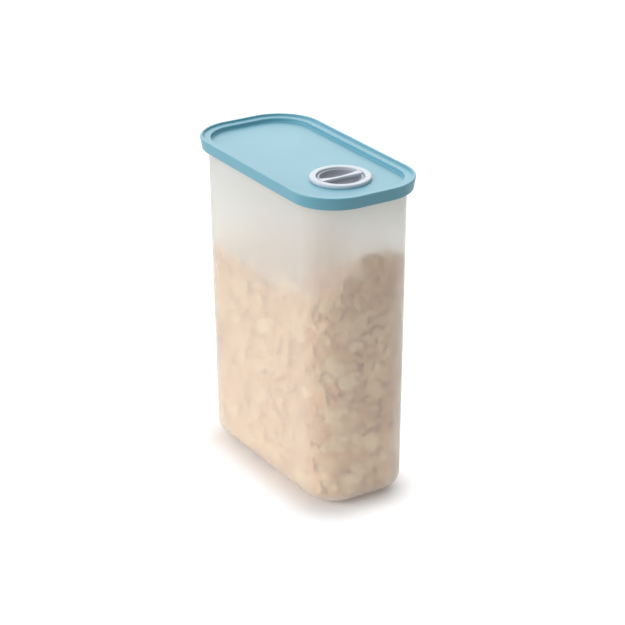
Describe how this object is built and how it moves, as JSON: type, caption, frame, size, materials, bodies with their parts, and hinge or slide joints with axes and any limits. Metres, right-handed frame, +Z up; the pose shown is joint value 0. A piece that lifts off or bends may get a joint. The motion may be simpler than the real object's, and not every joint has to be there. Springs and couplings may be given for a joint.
{
  "type": "cereal container with flip spout",
  "caption": "Tall oblong kitchen canister for dry food: a frosted tub, a lift-off lid with a recessed panel and a round flip disc near one end for pouring.",
  "frame": {"origin": "centre of the foot's standing face, under the middle of the tub", "axes": "+Z up, +X along the length towards the end with the spout, +Y across the width"},
  "size_m": [0.196, 0.1, 0.253],
  "materials": {
    "frosted_tub": "frosted translucent polypropylene",
    "lid_blue": "satin moulded",
    "spout_white": "semi-gloss moulded",
    "disc_grey": "satin moulded",
    "soft_seal": "translucent silicone",
    "pin_steel": "ground",
    "cereal": "dry toasted flakes"
  },
  "bodies": {
    "container": {"container_body": "frosted_tub", "cereal_fill": "cereal"},
    "lid_assembly": {"lid": "lid_blue", "lid_gasket": "soft_seal", "spout_ring": "spout_white", "spout_washer": "soft_seal", "spout_retainer": "spout_white", "pivot_pin_left": "pin_steel", "pivot_pin_right": "pin_steel"},
    "disc_assembly": {"flip_disc": "disc_grey", "disc_seal": "soft_seal", "grip_bar": "spout_white"}
  },
  "joints": [
    {"name": "lid_lift", "type": "slide", "parent": "container", "child": "lid_assembly", "axis": [0, 0, 1], "range_m": [0, 0.12]},
    {"name": "disc_flip", "type": "hinge", "parent": "lid_assembly", "child": "disc_assembly", "pos_m": [0.049, 0, 0.2468], "axis": [0, -1, 0], "range_deg": [0, 80]}
  ]
}
